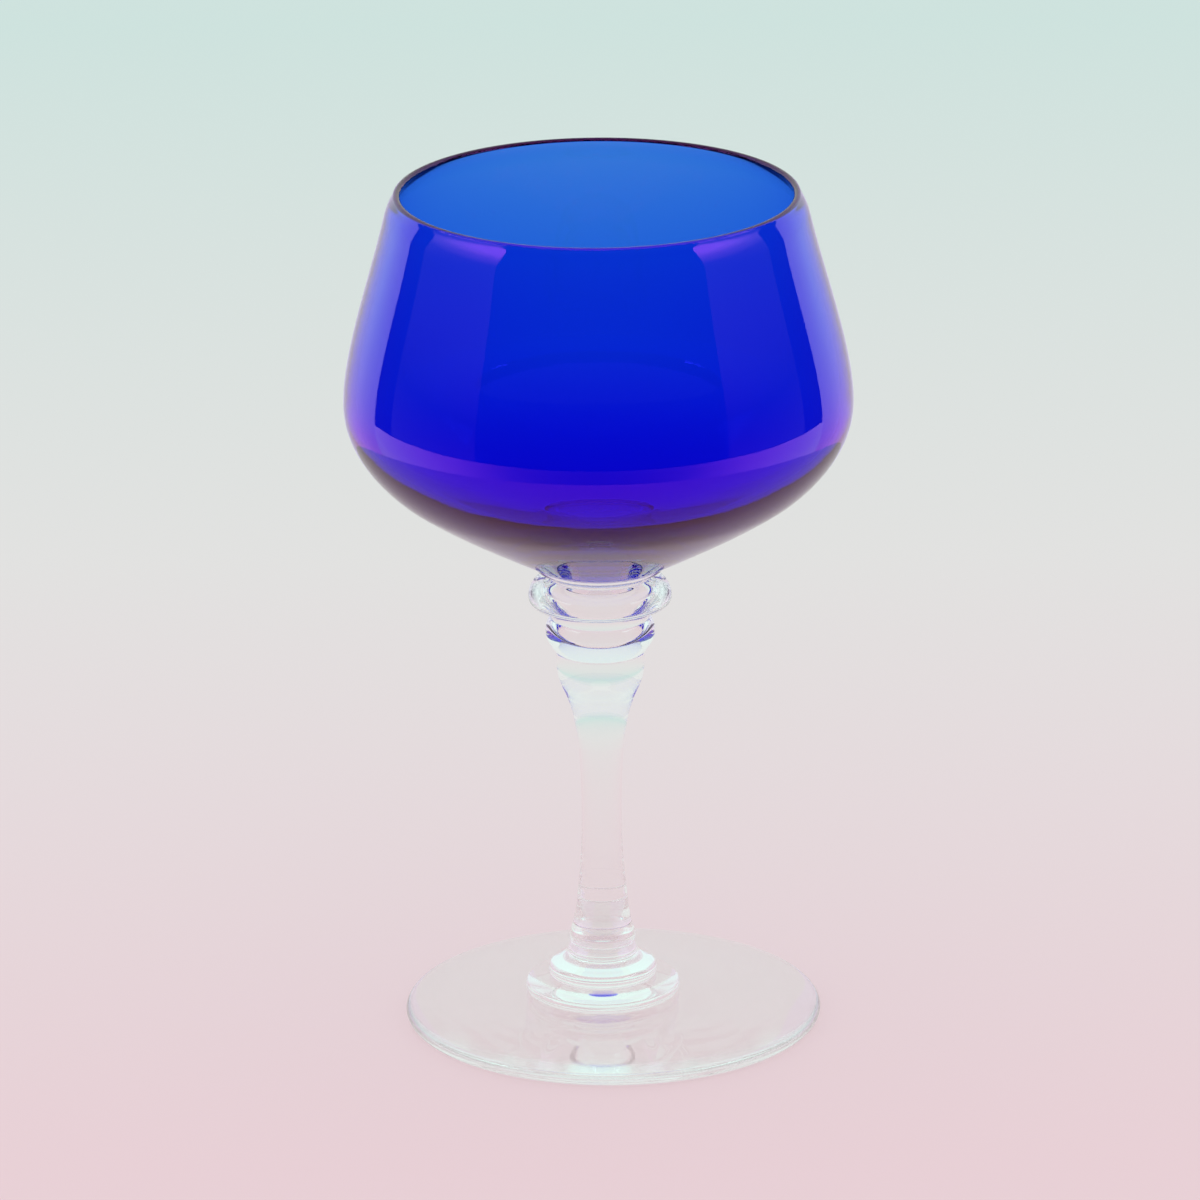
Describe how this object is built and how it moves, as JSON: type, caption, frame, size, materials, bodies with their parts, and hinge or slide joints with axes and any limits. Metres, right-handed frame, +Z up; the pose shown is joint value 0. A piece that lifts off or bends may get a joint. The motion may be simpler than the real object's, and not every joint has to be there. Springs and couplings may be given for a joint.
{
  "type": "gin glass",
  "caption": "Stemmed gin glass with a cobalt blue bowl, clear rings under it, a drawn clear stem, a stepped hub and a round foot.",
  "frame": {"origin": "on the stem's axis, at the plane that the foot stands on", "axes": "+Z up along the stem, -Y towards the viewer of the picture, +X to the viewer's right"},
  "size_m": [0.088, 0.088, 0.15],
  "materials": {
    "clear_glass": "clear, fire polished",
    "cobalt_glass": "cobalt blue, fire polished"
  },
  "bodies": {
    "root": {"foot": "clear_glass", "lower_foot_step": "clear_glass", "upper_foot_step": "clear_glass", "foot_post": "clear_glass", "stem": "clear_glass", "lower_collar": "clear_glass", "upper_collar": "clear_glass", "bowl": "cobalt_glass"}
  },
  "joints": []
}
